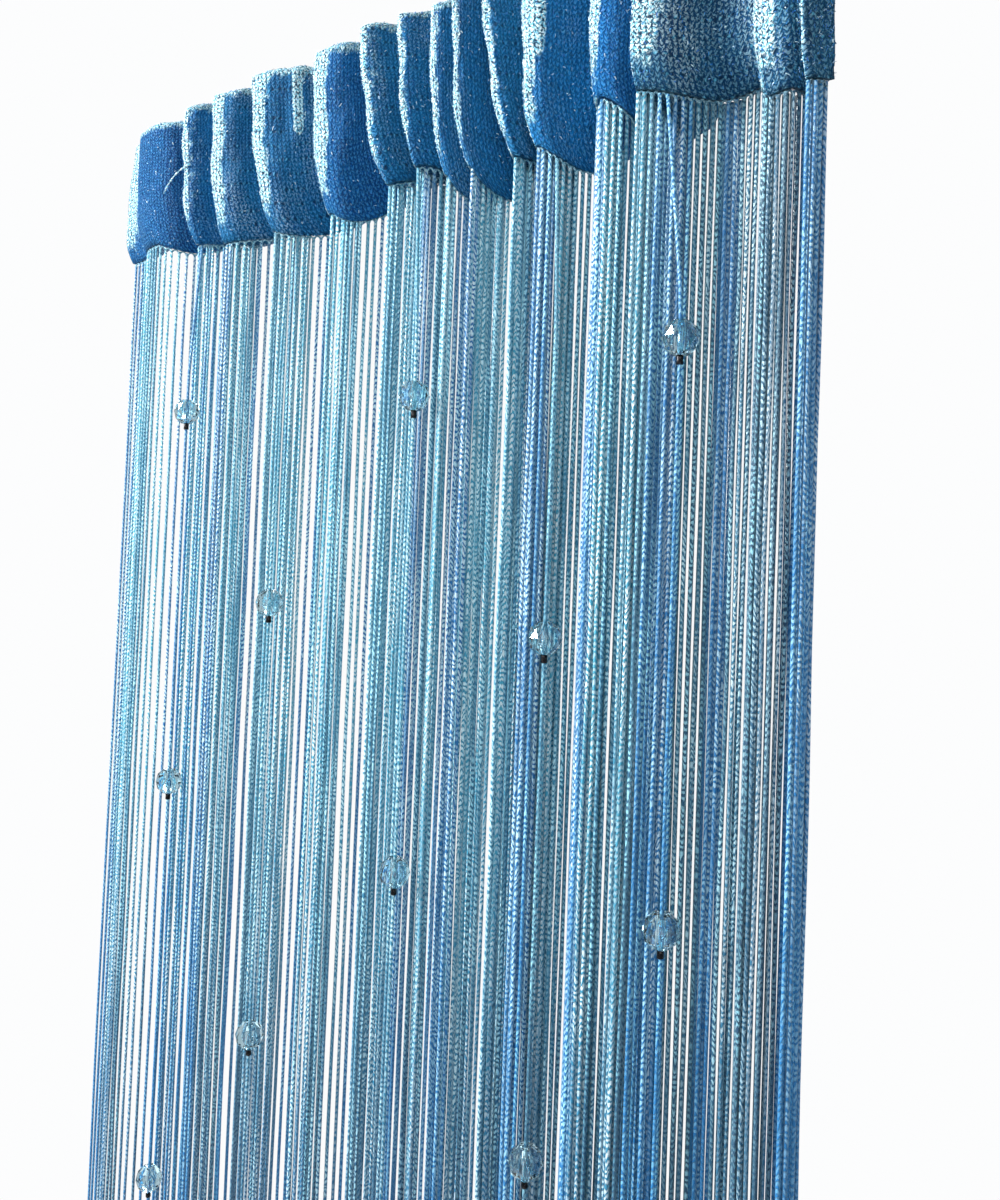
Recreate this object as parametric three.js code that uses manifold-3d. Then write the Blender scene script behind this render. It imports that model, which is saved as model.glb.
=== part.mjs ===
// Beaded string curtain on a gathered knitted heading, in millimetres, +Z up.
// X runs along the rod, +X to the right as seen from the room, and the front faces -Y.
// Z is 0 at the top of the heading. The middle of the rod channel lies over Y = 0.
import * as THREE from "three";
import { mergeVertices } from "three/addons/utils/BufferGeometryUtils.js";
import Module from "manifold-3d";

const wasm = await Module();
wasm.setup();

// Heading, a doubled knitted band that slides on a rod
const leftEnd = -233;
const leftLean = -14; // the left end leans out to the left at its foot
const hemLow = -88; // bottom of the heading where nothing draws it up or down
const topStep = 5; // the crests stay this much below the valleys at the top
const wall = 1.6;
const hemHalf = 1.2; // half of the two layers where they are knitted together
const channelHalf = 12; // middle of the wall, at the tightest places of the rod channel
const hemMiddle = -8.7;
const hemSwing = 0.72; // swing of the hem as a share of a fold's reach
const crestRound = 0.5; // 0 is a sine wave, higher makes rounder crests and steeper flanks
const slantFrom = 230; // right of this the heading's back is drawn in
const slant = 14; // so far at its right end

// One row a fold, from left to right: where its crest stands, how far it reaches
// out of the valleys, where the valley after it lies, how far its foot is pushed
// to the right of its top, how much lower its hem hangs at the crest and in the
// valley, and how much the hem between them droops.
const foldColumns = ["crest", "reach", "valley", "lean", "sag", "dip", "droop"];
const foldRows = [
  [-181, 19, -145, 1, -10, -11, 6],
  [-132, 23, -118, 4, -1, -5, 0],
  [-101, 23, -73, 2, 3, -4, 0],
  [-57, 25, -29, 12, 5, -4, 5],
  [-7, 22, 20, 4, 3, -14, 10],
  [34, 25, 45, 14, -2, -8, -2],
  [54, 21, 64, 6, -8, -4, -2],
  [73, 18, 83, 5, -1, 2, 9],
  [95, 25, 104, 4, 1, 3, 11],
  [114, 22, 123, 15, 1, 0, 1],
  [133, 21, 154, 2, -1, 3, 6],
  [171, 19, 192, -8, -14, 0, 4],
  [193, 25, 230, -9, -10, -11, 4],
  [239, 6, 257, 2, 1, 1, -2],
  [259, 14, 264, -2, 1, -1, 0],
];
const folds = foldRows.map((row) => Object.fromEntries(row.map((v, i) => [foldColumns[i], v])));

// Half of the heading's section, from the hem up to the top. Each row gives the
// height as a share of the whole, and how much of the hem's and of the top's own
// position it takes. The rest is the full swing of the fold at rod height.
const sectionColumns = ["height", "hem", "top"];
const sectionRows = [
  [0.0, 1.0, 0.0],
  [0.07, 0.62, 0.0],
  [0.2, 0.28, 0.0],
  [0.4, 0.07, 0.0],
  [0.9, 0.0, 0.0],
  [0.96, 0.0, 0.14],
  [0.99, 0.0, 0.5],
];
const section = sectionRows.map((row) =>
  Object.fromEntries(row.map((v, i) => [sectionColumns[i], v])),
);

// Strings
const totalDrop = 2000;
const stringCount = 295;
const crowding = 0.25; // the strings stand closer together towards the right
const stringRadius = 0.8;
const stripHalf = 0.85;
const stripHeight = 2.4;
const endMargin = 3.2;
const gap = 0.9;

// Beads, threaded on five strings, three in one row and two in the next
const beadAcross = 14.4;
const beadHigh = 13.2;
const beadHole = 1.25;
const beadSides = 8;
const rowPitch = 106;
const rowCount = 17;
const columnColumns = ["string", "x", "y", "first"];
const columnRows = [
  [32, -123, -31.3, 0],
  [71, -37.9, -29, 1],
  [131, 65.6, -27.3, 0],
  [209, 147.6, -23.5, 1],
  [257, 210.3, -23.7, 0],
];
const columns = columnRows.map((row) =>
  Object.fromEntries(row.map((v, i) => [columnColumns[i], v])),
);
const firstBead = -177;

// Crest and valley knots in order along the heading, each with its side:
// 1 in front, -1 behind.
const blend = (a, b, t) => a + (b - a) * t;
const { clamp } = THREE.MathUtils;

const knots = [
  { x: leftEnd, side: -0.4, reach: 10, lean: leftLean, sag: folds[0].sag, droop: 0 },
];
folds.forEach((fold, i) => {
  const next = folds[i + 1];
  knots.push({ ...fold, x: fold.crest, side: 1 });
  if (next) {
    const reach = blend(fold.reach, next.reach, 0.5);
    const lean = blend(fold.lean, next.lean, 0.5);
    knots.push({ x: fold.valley, side: -1, reach, lean, sag: fold.dip, droop: 0 });
  } else {
    knots.push({ x: fold.valley, side: 0, reach: 4, lean: 0, sag: fold.dip, droop: 0 });
  }
});
const rightEnd = knots[knots.length - 1].x;

// Plan of the folds at a knot number that may be broken, such as 3.4.
function planAt(place) {
  const i = Math.min(Math.floor(place), knots.length - 2);
  const t = place - i;
  const a = knots[i];
  const b = knots[i + 1];
  const soft = (1 - Math.cos(Math.PI * t)) / 2;
  const run = t + (crestRound * Math.sin(2 * Math.PI * t)) / (2 * Math.PI);
  return {
    x: blend(a.x, b.x, run),
    side: blend(a.side, b.side, soft),
    reach: blend(a.reach, b.reach, soft),
    lean: blend(a.lean, b.lean, soft),
    sag: blend(a.sag, b.sag, soft) + a.droop * Math.sin(Math.PI * t),
  };
}

// Middle of the cloth at a place along the heading. Row 0 is the hem, and the
// last row is the top. Layer is -1 for the front and 1 for the back.
function clothAt(place, row, layer) {
  const plan = planAt(place);
  const swing = (plan.reach * plan.side) / 2;
  const hemY = hemMiddle - hemSwing * plan.reach * plan.side;
  const fullY = layer * (channelHalf + plan.reach / 2) - swing;
  const topY = -swing * 0.7;
  const y = hemY * row.hem + topY * row.top + fullY * (1 - row.hem - row.top);
  const low = hemLow - plan.sag;
  const high = (-topStep * (1 + plan.side)) / 2;
  const z = blend(low, high, row.height);
  const x = plan.x + plan.lean * (0.5 - row.height);
  const nearEnd = clamp((x - slantFrom) / (rightEnd - slantFrom), 0, 1);
  const behind = Math.max(0, (y + channelHalf) / (2 * channelHalf));
  return new THREE.Vector3(x - slant * nearEnd * behind, y, z);
}

const topRow = { height: 1, hem: 0, top: 1 };

function slopeAlong(at, place) {
  const step = 0.02;
  const last = knots.length - 1;
  const before = at(Math.max(place - step, 0));
  const after = at(Math.min(place + step, last));
  return after.sub(before).normalize();
}

// The closed loop of rows at one place: up the front, over the top, down the back.
function loopAt(place) {
  const rows = [
    ...section.map((row) => ({ row, layer: -1 })),
    { row: topRow, layer: 0 },
    ...section.map((row) => ({ row, layer: 1 })).reverse(),
  ];
  const middle = rows.map(({ row, layer }) => clothAt(place, row, layer));
  const along = rows.map(({ row, layer }) => slopeAlong((p) => clothAt(p, row, layer), place));
  const last = rows.length - 1;
  const normals = middle.map((point, i) => {
    const up = middle[Math.min(i + 1, last)].clone().sub(middle[Math.max(i - 1, 0)]);
    if (i === 0) up.set(0, 0, 1);
    if (i === last) up.set(0, 0, -1);
    return along[i].clone().cross(up).normalize();
  });
  return { middle, normals };
}

// Outer and inner skin of the heading at one place. At the hem the layers touch.
function skinsAt(place) {
  const { middle, normals } = loopAt(place);
  const last = middle.length - 1;
  const outer = middle.map((point, i) =>
    point.clone().addScaledVector(normals[i], i === 0 || i === last ? hemHalf : wall / 2),
  );
  const inner = middle.map((point, i) => {
    if (i === 0 || i === last) {
      return point.clone().addScaledVector(normals[i], 0.15).setZ(point.z + 4);
    }
    return point.clone().addScaledVector(normals[i], -wall / 2);
  });
  return { outer, inner };
}

function geometryOf(points, faces) {
  const geometry = new THREE.BufferGeometry();
  geometry.setAttribute(
    "position",
    new THREE.Float32BufferAttribute(points.flatMap((p) => [p.x, p.y, p.z]), 3),
  );
  geometry.setIndex(faces.flat());
  geometry.computeVertexNormals();
  return geometry;
}

// Places along the heading, closer together where a fold is wide
function places() {
  const list = [];
  knots.slice(0, -1).forEach((knot, i) => {
    const run = Math.abs(knots[i + 1].x - knot.x);
    const steps = run > 24 ? 5 : run > 12 ? 4 : 3;
    for (let k = 0; k < steps; k += 1) list.push(i + k / steps);
  });
  list.push(knots.length - 1);
  return list;
}

function makeHeading() {
  const points = [];
  const faces = [];
  const stations = places().map(skinsAt);
  const count = stations[0].outer.length;
  stations.forEach(({ outer, inner }) => points.push(...outer, ...inner));
  const outerAt = (s, i) => s * 2 * count + (i % count);
  const innerAt = (s, i) => s * 2 * count + count + (i % count);
  for (let s = 0; s + 1 < stations.length; s += 1) {
    for (let i = 0; i < count; i += 1) {
      const o = [outerAt(s, i), outerAt(s + 1, i), outerAt(s + 1, i + 1), outerAt(s, i + 1)];
      const n = [innerAt(s, i), innerAt(s + 1, i), innerAt(s + 1, i + 1), innerAt(s, i + 1)];
      faces.push([o[0], o[1], o[2]], [o[0], o[2], o[3]]);
      faces.push([n[0], n[2], n[1]], [n[0], n[3], n[2]]);
    }
  }
  const end = stations.length - 1;
  for (let i = 0; i < count; i += 1) {
    faces.push([outerAt(0, i), outerAt(0, i + 1), innerAt(0, i + 1)]);
    faces.push([outerAt(0, i), innerAt(0, i + 1), innerAt(0, i)]);
    faces.push([outerAt(end, i), innerAt(end, i + 1), outerAt(end, i + 1)]);
    faces.push([outerAt(end, i), innerAt(end, i), innerAt(end, i + 1)]);
  }
  return geometryOf(points, faces);
}

// The hem in plan, with its own direction, for what is sewn under it
function hemAt(place) {
  const along = slopeAlong((p) => clothAt(p, section[0], 0), place);
  along.setZ(0).normalize();
  return {
    point: clothAt(place, section[0], 0),
    across: new THREE.Vector3(along.y, -along.x, 0),
    along,
  };
}

// A bar of four sides that follows a list of sections, each a list of four points
function barOf(sections) {
  const faces = [];
  const at = (s, i) => s * 4 + (i % 4);
  for (let s = 0; s + 1 < sections.length; s += 1) {
    for (let i = 0; i < 4; i += 1) {
      faces.push([at(s, i), at(s + 1, i), at(s + 1, i + 1)]);
      faces.push([at(s, i), at(s + 1, i + 1), at(s, i + 1)]);
    }
  }
  const end = sections.length - 1;
  faces.push([at(0, 0), at(0, 1), at(0, 2)], [at(0, 0), at(0, 2), at(0, 3)]);
  faces.push([at(end, 0), at(end, 2), at(end, 1)], [at(end, 0), at(end, 3), at(end, 2)]);
  return geometryOf(sections.flat(), faces);
}

function makeStrip() {
  const sections = places()
    .map((place) => {
      const { point, across } = hemAt(place);
      const top = point.z - gap;
      return [
        point.clone().addScaledVector(across, stripHalf).setZ(top - stripHeight),
        point.clone().addScaledVector(across, stripHalf).setZ(top),
        point.clone().addScaledVector(across, -stripHalf).setZ(top),
        point.clone().addScaledVector(across, -stripHalf).setZ(top - stripHeight),
      ];
    });
  return barOf(sections);
}

// Roots along the hem, measured along the gathered cloth
function stringRoots() {
  const stations = places().map(hemAt);
  const lengths = [0];
  stations.slice(1).forEach(({ point }, i) => {
    lengths.push(lengths[i] + point.distanceTo(stations[i].point));
  });
  const whole = lengths[lengths.length - 1];
  const roots = [];
  let i = 0;
  for (let n = 0; n < stringCount; n += 1) {
    const turn = n / (stringCount - 1);
    const want = blend(endMargin, whole - endMargin, turn + crowding * turn * (1 - turn));
    while (lengths[i + 1] < want) i += 1;
    const share = (want - lengths[i]) / (lengths[i + 1] - lengths[i]);
    roots.push({
      point: stations[i].point.clone().lerp(stations[i + 1].point, share),
      along: stations[i].along.clone().lerp(stations[i + 1].along, share).normalize(),
    });
  }
  return roots;
}

// The course of each string: its root in the strip, a turn if it carries beads,
// and its cut end.
function stringCourses() {
  const free = stringRoots().map(({ point, along }, n) => {
    const foot = point.clone();
    foot.x += 3.2 * Math.sin(n * 0.045) + 0.2 * Math.sin(n * 2.4);
    foot.y = hemMiddle + (point.y - hemMiddle) * 0.94 + 0.3 * Math.sin(n * 1.7 + 1);
    foot.z = -totalDrop + 7 * Math.abs(Math.sin(n * 2.1));
    return { points: [point.clone(), foot], along };
  });
  columns.forEach((column) => {
    const course = free[column.string];
    const turn = new THREE.Vector3(column.x, column.y, firstBead + beadHigh);
    const foot = new THREE.Vector3(column.x, column.y, -totalDrop + 3);
    course.points = [course.points[0], turn, foot];
  });
  return free;
}

// A three-sided string along its course, as a closed solid
function stringGeometry({ points, along }) {
  const side = new THREE.Vector3(along.y, -along.x, 0);
  const corners = [0, 1, 2].map((i) => {
    const angle = Math.PI / 2 + (i * 2 * Math.PI) / 3;
    return along
      .clone()
      .multiplyScalar(stringRadius * Math.cos(angle))
      .addScaledVector(side, stringRadius * Math.sin(angle));
  });
  const levels = points.map((point) => corners.map((corner) => point.clone().add(corner)));
  const faces = [];
  const at = (s, i) => s * 3 + (i % 3);
  for (let s = 0; s + 1 < levels.length; s += 1) {
    for (let i = 0; i < 3; i += 1) {
      faces.push([at(s, i), at(s, i + 1), at(s + 1, i + 1)]);
      faces.push([at(s, i), at(s + 1, i + 1), at(s + 1, i)]);
    }
  }
  const end = levels.length - 1;
  faces.push([at(0, 0), at(0, 2), at(0, 1)], [at(end, 0), at(end, 1), at(end, 2)]);
  return geometryOf(levels.flat(), faces);
}

function solidFrom(geometry) {
  const bare = geometry.clone();
  bare.deleteAttribute("normal");
  bare.deleteAttribute("uv");
  const merged = mergeVertices(bare, 1e-4);
  const mesh = new wasm.Mesh({
    numProp: 3,
    vertProperties: merged.attributes.position.array,
    triVerts: new Uint32Array(merged.index.array),
  });
  const solid = new wasm.Manifold(mesh);
  if (solid.volume() <= 0) throw new Error("a solid is inside out");
  return solid;
}

function geometryFrom(solid) {
  const mesh = solid.getMesh();
  const geometry = new THREE.BufferGeometry();
  geometry.setAttribute("position", new THREE.Float32BufferAttribute(mesh.vertProperties, 3));
  geometry.setIndex(new THREE.BufferAttribute(mesh.triVerts, 1));
  geometry.computeVertexNormals();
  return geometry;
}

function makeStrings(courses) {
  const stripSolid = solidFrom(makeStrip());
  const strings = courses.map((course) => {
    const points = course.points.map((point) => point.clone());
    points[0].z += -gap - stripHeight * 0.5;
    return solidFrom(stringGeometry({ points, along: course.along }));
  });
  return geometryFrom(wasm.Manifold.union([stripSolid, ...strings]));
}

// A cut glass bead: a barrel of flat facets about its hole
function makeBead() {
  const half = beadHigh / 2;
  const full = beadAcross / 2;
  const profile = [
    [beadHole, -half],
    [full * 0.55, -half],
    [full, -half * 0.32],
    [full, half * 0.32],
    [full * 0.55, half],
    [beadHole, half],
    [beadHole, -half],
  ];
  const lathe = new THREE.LatheGeometry(
    profile.map(([r, z]) => new THREE.Vector2(r, z)),
    beadSides,
  );
  return lathe.rotateX(Math.PI / 2);
}

const materials = {
  knit: new THREE.MeshStandardMaterial({ color: "#4f93c4", roughness: 0.55, metalness: 0 }),
  cord: new THREE.MeshStandardMaterial({ color: "#8cc7dd", roughness: 0.45, metalness: 0 }),
  glass: new THREE.MeshStandardMaterial({ color: "#a9dbe8", roughness: 0.05, metalness: 0 }),
};

const group = new THREE.Group();

function addNode(name, geometry, material) {
  const mesh = new THREE.Mesh(geometry, material);
  mesh.name = name;
  group.add(mesh);
  return mesh;
}

addNode("heading", makeHeading(), materials.knit);

const courses = stringCourses();
addNode("strings", makeStrings(courses), materials.cord);

// The beads hang a little unevenly, as slid along by hand.
const unevenness = [-1, -5, 7, 2, -3, 5, -7, 1, -3, 1, 1];
let beadNumber = 0;
for (let row = 0; row < rowCount; row += 1) {
  columns
    .filter((column) => column.first === row % 2)
    .forEach((column) => {
      const listed = unevenness[beadNumber];
      const slip = listed === undefined ? 4 * Math.sin(beadNumber * 2.3) : listed;
      beadNumber += 1;
      const bead = addNode(
        `bead_${String(beadNumber).padStart(2, "0")}`,
        makeBead(),
        materials.glass,
      );
      bead.position.set(column.x, column.y, firstBead - row * rowPitch + slip - beadHigh / 2);
      bead.rotation.z = (beadNumber * 0.37) % (Math.PI / 4);
    });
}

export default group;
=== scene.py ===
import math
import bpy
import numpy as np
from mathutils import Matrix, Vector


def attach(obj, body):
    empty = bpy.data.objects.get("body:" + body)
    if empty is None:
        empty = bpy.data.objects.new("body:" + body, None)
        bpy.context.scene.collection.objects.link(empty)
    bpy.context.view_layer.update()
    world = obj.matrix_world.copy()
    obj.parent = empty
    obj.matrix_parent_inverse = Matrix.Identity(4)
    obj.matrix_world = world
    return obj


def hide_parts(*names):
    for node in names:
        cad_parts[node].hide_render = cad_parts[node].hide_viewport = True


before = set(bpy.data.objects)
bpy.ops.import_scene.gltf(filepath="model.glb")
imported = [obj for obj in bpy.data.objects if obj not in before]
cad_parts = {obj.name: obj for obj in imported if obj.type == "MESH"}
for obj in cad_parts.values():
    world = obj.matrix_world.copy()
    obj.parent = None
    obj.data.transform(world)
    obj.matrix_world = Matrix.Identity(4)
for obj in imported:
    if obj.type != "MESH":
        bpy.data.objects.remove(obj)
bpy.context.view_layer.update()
scene = bpy.context.scene
mm = 0.001


def addObject(name, data):
    obj = bpy.data.objects.new(name, data)
    scene.collection.objects.link(obj)
    return obj


# Camera at the photograph's viewing angle, near the right end and below the heading
view = {
    "place": (0.4757, -0.3852, -0.2634), "turn": (92.38, -2.21, 44.48),
    "lens": 36.0, "sensor": 36.0, "shift": -0.0714, "near": 0.02, "far": 50.0,
}
cameraData = bpy.data.cameras.new("photoCamera")
cameraData.sensor_fit = "VERTICAL"
cameraData.sensor_height = view["sensor"]
cameraData.lens = view["lens"]
cameraData.shift_y = view["shift"]
cameraData.clip_start = view["near"]
cameraData.clip_end = view["far"]
camera = addObject("photoCamera", cameraData)
camera.location = view["place"]
camera.rotation_euler = [math.radians(angle) for angle in view["turn"]]
scene.camera = camera
print("camera set")

# The heading and its folds, from left to right, in millimetres
heading = {
    "leftEnd": -233, "leftLean": -14, "leftSide": -0.4, "leftReach": 10, "rightReach": 4,
    "hemLow": -88, "topStep": 5, "channelHalf": 12, "hemMiddle": -8.7, "hemSwing": 0.72,
    "topSwing": 0.7, "crestRound": 0.5, "slantFrom": 230, "slant": 14,
    "wall": 1.3, "hemHalf": 1.0, "hemInset": 0.15, "hemTuckedIn": 4, "calmEdge": 10,
    "stepsPerHalfFold": 23, "rows": 58,
}
foldColumns = ("crest", "reach", "valley", "lean", "sag", "dip", "droop")
foldRows = (
    (-181, 19, -145, 1, -10, -11, 6),
    (-132, 23, -118, 4, -1, -5, 0),
    (-101, 23, -73, 2, 3, -4, 0),
    (-57, 25, -29, 12, 5, -4, 5),
    (-7, 22, 20, 4, 3, -14, 10),
    (34, 25, 45, 14, -2, -8, -2),
    (54, 21, 64, 6, -8, -4, -2),
    (73, 18, 83, 5, -1, 2, 9),
    (95, 25, 104, 4, 1, 3, 11),
    (114, 22, 123, 15, 1, 0, 1),
    (133, 21, 154, 2, -1, 3, 6),
    (171, 19, 192, -8, -14, 0, 4),
    (193, 25, 230, -9, -10, -11, 4),
    (239, 6, 257, 2, 1, 1, -2),
    (259, 14, 264, -2, 1, -1, 0),
)
folds = [dict(zip(foldColumns, row)) for row in foldRows]

# Half of the section from the hem up to the top: height as a share, and how much
# of the hem's and of the top's own place each row takes
sectionRows = (
    (0.0, 1.0, 0.0),
    (0.07, 0.62, 0.0),
    (0.2, 0.28, 0.0),
    (0.4, 0.07, 0.0),
    (0.9, 0.0, 0.0),
    (0.96, 0.0, 0.14),
    (0.99, 0.0, 0.5),
)

# How far the painted highlight on the ridge of each fold reaches past its crest, as a share of the way to
# the valley
ridgeHighlightWidths = (0.02, 0.62, 0.28, 0.38, 0.19, 0.58, 0.30, 0.24, 0.28, 0.28, 0.22, 0.05, 0.78, 0.2, 1.2)

# How open the knitting of each fold shows, from 0 for plain to 1 for rows of gaps
openShares = (0.1, 0.45, 0.9, 0.9, 0.15, 0.85, 0.7, 0.6, 0.5, 0.8, 0.4, 0.1, 1, 1, 1)

# Painted shade and light: how bright the blue of each fold is painted, from dark to bright
foldShading = (0.02, 0.4, 0.36, 0.38, 0.3, 0.5, 0.5, 0.5, 0.5, 0.6, 0.78, 0.6, 0.5, 0.4, 0.4)

# Small tucks on the front: knot place, height they end at, how far they stand out, how wide
tuckRows = (
    (7.56, 0.46, 3.0, 0.10),
    (21.18, 0.36, 2.8, 0.13),
    (1.9, 0.30, 1.6, 0.12),
)


# Turning points of the folds: the left end, then a crest and a valley for each fold.
def foldKnots():
    start = {"x": heading["leftEnd"], "side": heading["leftSide"], "reach": heading["leftReach"]}
    knots = [start | {"lean": heading["leftLean"], "sag": folds[0]["sag"], "droop": 0}]
    for fold, after in zip(folds, folds[1:] + [None]):
        crest = {name: fold[name] for name in ("reach", "lean", "sag", "droop")}
        knots.append(crest | {"x": fold["crest"], "side": 1})
        if after:
            valley = {name: (fold[name] + after[name]) / 2 for name in ("reach", "lean")} | {"side": -1}
        else:
            valley = {"side": 0, "reach": heading["rightReach"], "lean": 0}
        knots.append(valley | {"x": fold["valley"], "sag": fold["dip"], "droop": 0})
    return knots


knots = foldKnots()
knotNames = ("x", "side", "reach", "lean", "sag", "droop")
knotTable = {name: np.array([knot[name] for knot in knots], float) for name in knotNames}


# Every fold value at places counted in knots, eased from one knot to the next.
def planAt(place):
    first = np.minimum(np.floor(place).astype(int), len(knots) - 2)
    t = place - first
    soft = (1 - np.cos(np.pi * t)) / 2
    run = t + heading["crestRound"] * np.sin(2 * np.pi * t) / (2 * np.pi)
    plan = {}
    for name, values in knotTable.items():
        share = run if name == "x" else soft
        plan[name] = values[first] + (values[first + 1] - values[first]) * share
    plan["sag"] = plan["sag"] + knotTable["droop"][first] * np.sin(np.pi * t)
    return plan


def lengthsAlong(path):
    return np.concatenate([[0], np.cumsum(np.linalg.norm(np.diff(path, axis=0), axis=1))])


# A middling fold, which spaces the section rows evenly along the cloth
guide = {"hemSwing": -18, "depth": 23, "height": 86, "samples": 1200}


# Section rows round the whole loop, front hem to top to back hem, evened out along a smooth line.
def smoothRows(count):
    half = [(h, hem, top, -(1 - hem - top)) for h, hem, top in sectionRows]
    back = [(h, hem, top, -layer) for h, hem, top, layer in reversed(half)]
    table = np.array(half + [(1.0, 0.0, 1.0, 0.0)] + back)
    padded = np.vstack([2 * table[0] - table[1], table, 2 * table[-1] - table[-2]])
    dense = catmull(padded, np.linspace(0, len(table) - 1, guide["samples"]))
    across = guide["hemSwing"] * dense[:, 1] + dense[:, 3] * guide["depth"]
    lengths = lengthsAlong(np.stack([across, guide["height"] * dense[:, 0]], 1))
    wanted = np.linspace(0, lengths[-1], count)
    return np.stack([np.interp(wanted, lengths, dense[:, k]) for k in range(4)], 1), wanted


# A smooth curve through the rows of a table.
def catmull(padded, places):
    i = np.minimum(np.floor(places).astype(int), len(padded) - 4)
    t = (places - i)[:, None]
    a, b, c, d = (padded[i + k] for k in range(4))
    curve = (2 * a - 5 * b + 4 * c - d) * t**2 + (3 * b - a - 3 * c + d) * t**3
    return 0.5 * (2 * b + (c - a) * t + curve)


# Middle of the cloth in millimetres, stations by rows.
def clothAt(place, rows):
    plan = {name: values[:, None] for name, values in planAt(place).items()}
    height, hem, top, layer = (rows[None, :, k] for k in range(4))
    swing = plan["reach"] * plan["side"] / 2
    hemY = heading["hemMiddle"] - heading["hemSwing"] * plan["reach"] * plan["side"]
    y = hemY * hem - swing * heading["topSwing"] * top - swing * (1 - hem - top)
    y = y + layer * (heading["channelHalf"] + plan["reach"] / 2)
    low = heading["hemLow"] - plan["sag"]
    high = -heading["topStep"] * (1 + plan["side"]) / 2
    z = low + (high - low) * height
    x = plan["x"] + plan["lean"] * (0.5 - height) + 0 * z
    nearEnd = np.clip((x - heading["slantFrom"]) / (knots[-1]["x"] - heading["slantFrom"]), 0, 1)
    behind = np.maximum(0, (y + heading["channelHalf"]) / (2 * heading["channelHalf"]))
    return np.stack([x - heading["slant"] * nearEnd * behind, y, z], -1)


def unit(vectors):
    return vectors / np.maximum(np.linalg.norm(vectors, axis=-1, keepdims=True), 1e-9)


# One object from points in millimetres. uvs are per point, and attributes hold one number a point.
def meshObject(name, points, faces, uvs=None, attributes=None, smooth=True):
    mesh = bpy.data.meshes.new(name)
    mesh.vertices.add(len(points))
    mesh.vertices.foreach_set("co", (np.asarray(points, np.float32) * mm).ravel())
    faces = [np.asarray(group) for group in (faces if isinstance(faces, list) else [faces])]
    loops = np.concatenate([group.ravel() for group in faces])
    sizes = np.concatenate([np.full(len(group), group.shape[1]) for group in faces])
    mesh.loops.add(len(loops))
    mesh.loops.foreach_set("vertex_index", loops.astype(np.int32))
    mesh.polygons.add(len(sizes))
    mesh.polygons.foreach_set("loop_start", (np.cumsum(sizes) - sizes).astype(np.int32))
    mesh.update(calc_edges=True)
    if uvs is not None:
        layer = mesh.uv_layers.new(name="cloth")
        layer.data.foreach_set("uv", np.asarray(uvs, np.float32)[loops].ravel())
    for label, values in (attributes or {}).items():
        numbers = mesh.attributes.new(label, "FLOAT", "POINT")
        numbers.data.foreach_set("value", np.asarray(values, np.float32))
    mesh.polygons.foreach_set("use_smooth", [smooth] * len(sizes))
    mesh.validate()
    return addObject(name, mesh)


# Quads round closed rings of count points.
def gridFaces(stations, count, offset=0, flip=False):
    s, i = np.meshgrid(np.arange(stations - 1), np.arange(count), indexing="ij")
    after = (i + 1) % count
    here, ahead = s * count, (s + 1) * count
    quads = np.stack([here + i, ahead + i, ahead + after, here + after], -1).reshape(-1, 4)
    return (quads[:, ::-1] if flip else quads) + offset


def turnsRound(sides, shift=0.0):
    return (np.arange(sides) + shift) * 2 * np.pi / sides


# Texture places on a cord: the share round it, and the length along it in metres.
def cordUvs(angles, along):
    places = np.broadcast_arrays(angles[None, :] / (2 * np.pi), along[:, None])
    return np.stack(places, -1).reshape(-1, 2)


# How the looks are told apart on the cloth: the way the ridges with a painted highlight face, how sharply
# that highlight starts, the painted highlight on the rim along the top and on the tucks, how it fades on the
# first lobe, and where the open lace of the last folds begins
marks = {
    "toLeft": (-0.82, -0.57, 0.05), "pastCrest": 1.35, "softness": 2.2, "base": 0.45, "turnedFrom": 0.6,
    "darkLobe": 1.3, "thinEdge": 0.34, "rimHighlight": 0.72, "rimFrom": 0.84, "rimSoft": 0.1,
    "tuckHighlight": 0.9, "tuckFrom": 0.45, "tuckSoft": 0.35, "tallTuck": 2.8, "tuckRise": 0.14,
    "laceFrom": 24.6, "laceSoft": 0.5,
}


# Soft unevenness of a limp knit, as slack ripples, from lengths along and across it.
def slackRipples(u, v):
    ripple = 0.5 * np.sin(u * 0.21 + 1.3 * np.sin(v * 0.07)) * np.sin(v * 0.085 + 0.4)
    ripple += 0.35 * np.sin(u * 0.083 + v * 0.16 + 2 * np.sin(u * 0.031))
    return ripple + 0.22 * np.sin(u * 0.9 + 2.2 * np.sin(v * 0.19))


# One tuck, from 0 to 1 over the cloth.
def tuckShape(place, rows, at, foot, wide):
    rise = np.clip((rows[:, 0] - foot) / marks["tuckRise"], 0, 1)
    front = np.clip(-rows[:, 3], 0, 1)
    across = np.exp(-(((place - at) / wide) ** 2))
    return across[:, None] * (rise * rise * (3 - 2 * rise) * front)[None, :]
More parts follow.
